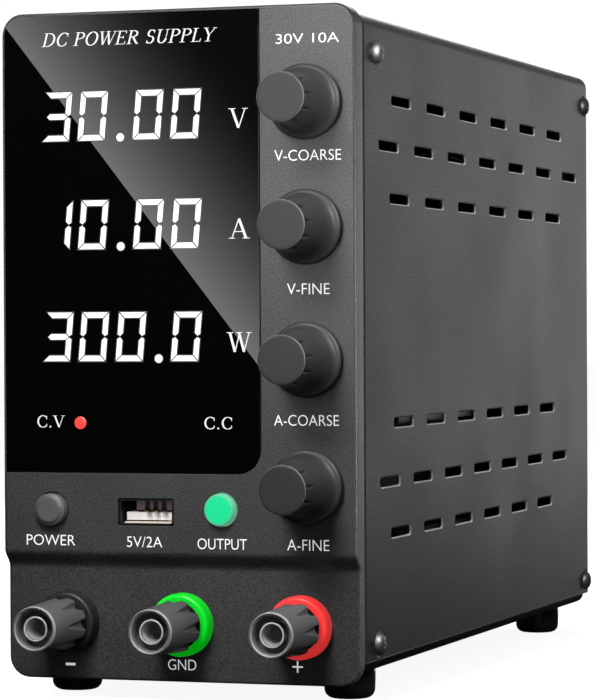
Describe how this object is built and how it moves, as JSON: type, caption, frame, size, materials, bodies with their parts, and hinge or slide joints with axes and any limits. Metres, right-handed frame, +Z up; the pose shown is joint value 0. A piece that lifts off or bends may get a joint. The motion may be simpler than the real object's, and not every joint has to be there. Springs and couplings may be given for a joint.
{
  "type": "bench power supply",
  "caption": "Upright bench power supply: digit display behind a dark lens, rotary controls, push buttons, USB socket and screw-down binding posts in a vented sheet-metal case.",
  "frame": {"origin": "middle of the object's box, at the bottom of the feet", "axes": "-Y to the front with the display and posts, +X to the right as seen from the front, +Z up"},
  "size_m": [0.089, 0.2416, 0.1585],
  "materials": {
    "bezel_plastic": "fine-textured moulded plastic",
    "lens_acrylic": "glossy dark acrylic",
    "zinc_plate": "zinc-plated sheet",
    "base_paint": "satin powder coat",
    "powder_coat": "fine-textured powder coat",
    "nickel_screws": "nickel plate",
    "zinc_screws": "zinc plate",
    "black_screws": "black oxide",
    "foot_rubber": "matt rubber",
    "digit_block": "black face with lit segments",
    "led_lit_red": "lit red",
    "led_unlit": "clear epoxy, off",
    "circuit_board": "solder mask",
    "pot_metal": "plated",
    "nickel_nuts": "nickel plate",
    "shaft_metal": "turned",
    "knob_plastic": "satin moulded",
    "power_button_plastic": "satin moulded",
    "output_button_lit": "translucent, lit",
    "switch_plastic": "moulded",
    "usb_steel": "bright plate",
    "usb_plastic": "white moulded",
    "contact_gold": "gold flash",
    "post_black": "moulded",
    "post_green": "moulded",
    "post_red": "moulded",
    "post_cap_black": "moulded",
    "washer_nickel": "nickel plate",
    "stud_nickel": "nickel plate",
    "fan_plastic": "moulded",
    "guard_chrome": "plated wire",
    "inlet_plastic": "moulded",
    "inlet_brass": "plated brass",
    "selector_red": "moulded",
    "standoff_brass": "turned",
    "heatsink_aluminium": "extruded",
    "transformer_core": "ferrite and tape",
    "capacitor_sleeve": "shrink sleeve",
    "terminal_plastic": "moulded",
    "lead_insulation": "wire insulation"
  },
  "bodies": {
    "enclosure": {"front_bezel": "bezel_plastic", "display_lens": "lens_acrylic", "front_plate": "zinc_plate", "chassis_base": "base_paint", "top_cover": "powder_coat", "rear_panel": "base_paint", "cover_screws": "nickel_screws", "rubber_feet": "foot_rubber", "foot_screws": "zinc_screws", "bezel_screws": "zinc_screws", "volts_display": "digit_block", "amps_display": "digit_block", "watts_display": "digit_block", "cv_led": "led_lit_red", "cc_led": "led_unlit", "display_board": "circuit_board", "control_board": "circuit_board", "main_board": "circuit_board", "potentiometers": "pot_metal", "potentiometer_nuts": "nickel_nuts", "push_switches": "switch_plastic", "usb_shell": "usb_steel", "usb_tongue": "usb_plastic", "usb_contacts": "contact_gold", "post_studs": "stud_nickel", "post_nuts": "nickel_nuts", "fan_frame": "fan_plastic", "fan_guard": "guard_chrome", "fan_screws": "black_screws", "inlet_housing": "inlet_plastic", "inlet_pins": "inlet_brass", "selector_body": "inlet_plastic", "board_standoffs": "standoff_brass", "heatsinks": "heatsink_aluminium", "transformer": "transformer_core", "capacitors": "capacitor_sleeve", "terminal_block": "terminal_plastic", "output_leads": "lead_insulation", "mains_leads": "lead_insulation", "negative_collar": "post_black", "ground_collar": "post_green", "positive_collar": "post_red"},
    "volts_coarse_control": {"volts_coarse_knob": "knob_plastic", "volts_coarse_shaft": "shaft_metal"},
    "volts_fine_control": {"volts_fine_knob": "knob_plastic", "volts_fine_shaft": "shaft_metal"},
    "amps_coarse_control": {"amps_coarse_knob": "knob_plastic", "amps_coarse_shaft": "shaft_metal"},
    "amps_fine_control": {"amps_fine_knob": "knob_plastic", "amps_fine_shaft": "shaft_metal"},
    "power_button_cap": {"power_button": "power_button_plastic"},
    "output_button_cap": {"output_button": "output_button_lit"},
    "negative_thumb_nut": {"negative_post_cap": "post_cap_black"},
    "negative_clamp": {"negative_clamp_washer": "washer_nickel"},
    "ground_thumb_nut": {"ground_post_cap": "post_cap_black"},
    "ground_clamp": {"ground_clamp_washer": "washer_nickel"},
    "positive_thumb_nut": {"positive_post_cap": "post_cap_black"},
    "positive_clamp": {"positive_clamp_washer": "washer_nickel"},
    "fan_rotor_body": {"fan_rotor": "fan_plastic"},
    "selector_slide_body": {"selector_slider": "selector_red"}
  },
  "joints": [
    {"name": "volts_coarse_turn", "type": "hinge", "parent": "enclosure", "child": "volts_coarse_control", "pos_m": [0.0314, -0.11095, 0.1364], "axis": [0, -1, 0], "range_deg": [-150, 150]},
    {"name": "volts_fine_turn", "type": "hinge", "parent": "enclosure", "child": "volts_fine_control", "pos_m": [0.0314, -0.11095, 0.1083], "axis": [0, -1, 0], "range_deg": [-150, 150]},
    {"name": "amps_coarse_turn", "type": "hinge", "parent": "enclosure", "child": "amps_coarse_control", "pos_m": [0.0314, -0.11095, 0.0785], "axis": [0, -1, 0], "range_deg": [-150, 150]},
    {"name": "amps_fine_turn", "type": "hinge", "parent": "enclosure", "child": "amps_fine_control", "pos_m": [0.0314, -0.11095, 0.0498], "axis": [0, -1, 0], "range_deg": [-150, 150]},
    {"name": "power_press", "type": "slide", "parent": "enclosure", "child": "power_button_cap", "axis": [0, 1, 0], "range_m": [0, 0.0022], "stiffness_N_per_m": 400, "springref_m": -0.002},
    {"name": "output_press", "type": "slide", "parent": "enclosure", "child": "output_button_cap", "axis": [0, 1, 0], "range_m": [0, 0.0015], "stiffness_N_per_m": 400, "springref_m": -0.002},
    {"name": "negative_clamp_lift", "type": "slide", "parent": "enclosure", "child": "negative_clamp", "axis": [0, -1, 0], "range_m": [0, 0.004]},
    {"name": "negative_cap_unscrew", "type": "hinge", "parent": "negative_clamp", "child": "negative_thumb_nut", "pos_m": [-0.0276, -0.11195, 0.0178], "axis": [0, -1, 0], "range_deg": [0, 1440]},
    {"name": "ground_clamp_lift", "type": "slide", "parent": "enclosure", "child": "ground_clamp", "axis": [0, -1, 0], "range_m": [0, 0.004]},
    {"name": "ground_cap_unscrew", "type": "hinge", "parent": "ground_clamp", "child": "ground_thumb_nut", "pos_m": [0.0004, -0.11195, 0.0178], "axis": [0, -1, 0], "range_deg": [0, 1440]},
    {"name": "positive_clamp_lift", "type": "slide", "parent": "enclosure", "child": "positive_clamp", "axis": [0, -1, 0], "range_m": [0, 0.004]},
    {"name": "positive_cap_unscrew", "type": "hinge", "parent": "positive_clamp", "child": "positive_thumb_nut", "pos_m": [0.0289, -0.11195, 0.0178], "axis": [0, -1, 0], "range_deg": [0, 1440]},
    {"name": "fan_spin", "type": "hinge", "parent": "enclosure", "child": "fan_rotor_body", "pos_m": [0, 0.10905, 0.1065], "axis": [0, 1, 0], "continuous": true},
    {"name": "selector_slide", "type": "slide", "parent": "enclosure", "child": "selector_slide_body", "axis": [1, 0, 0], "range_m": [0, 0.005]}
  ],
  "couplings": [
    {"joint": "negative_cap_unscrew", "follows": "negative_clamp_lift", "rad_per_m": 6283.2},
    {"joint": "ground_cap_unscrew", "follows": "ground_clamp_lift", "rad_per_m": 6283.2},
    {"joint": "positive_cap_unscrew", "follows": "positive_clamp_lift", "rad_per_m": 6283.2}
  ]
}
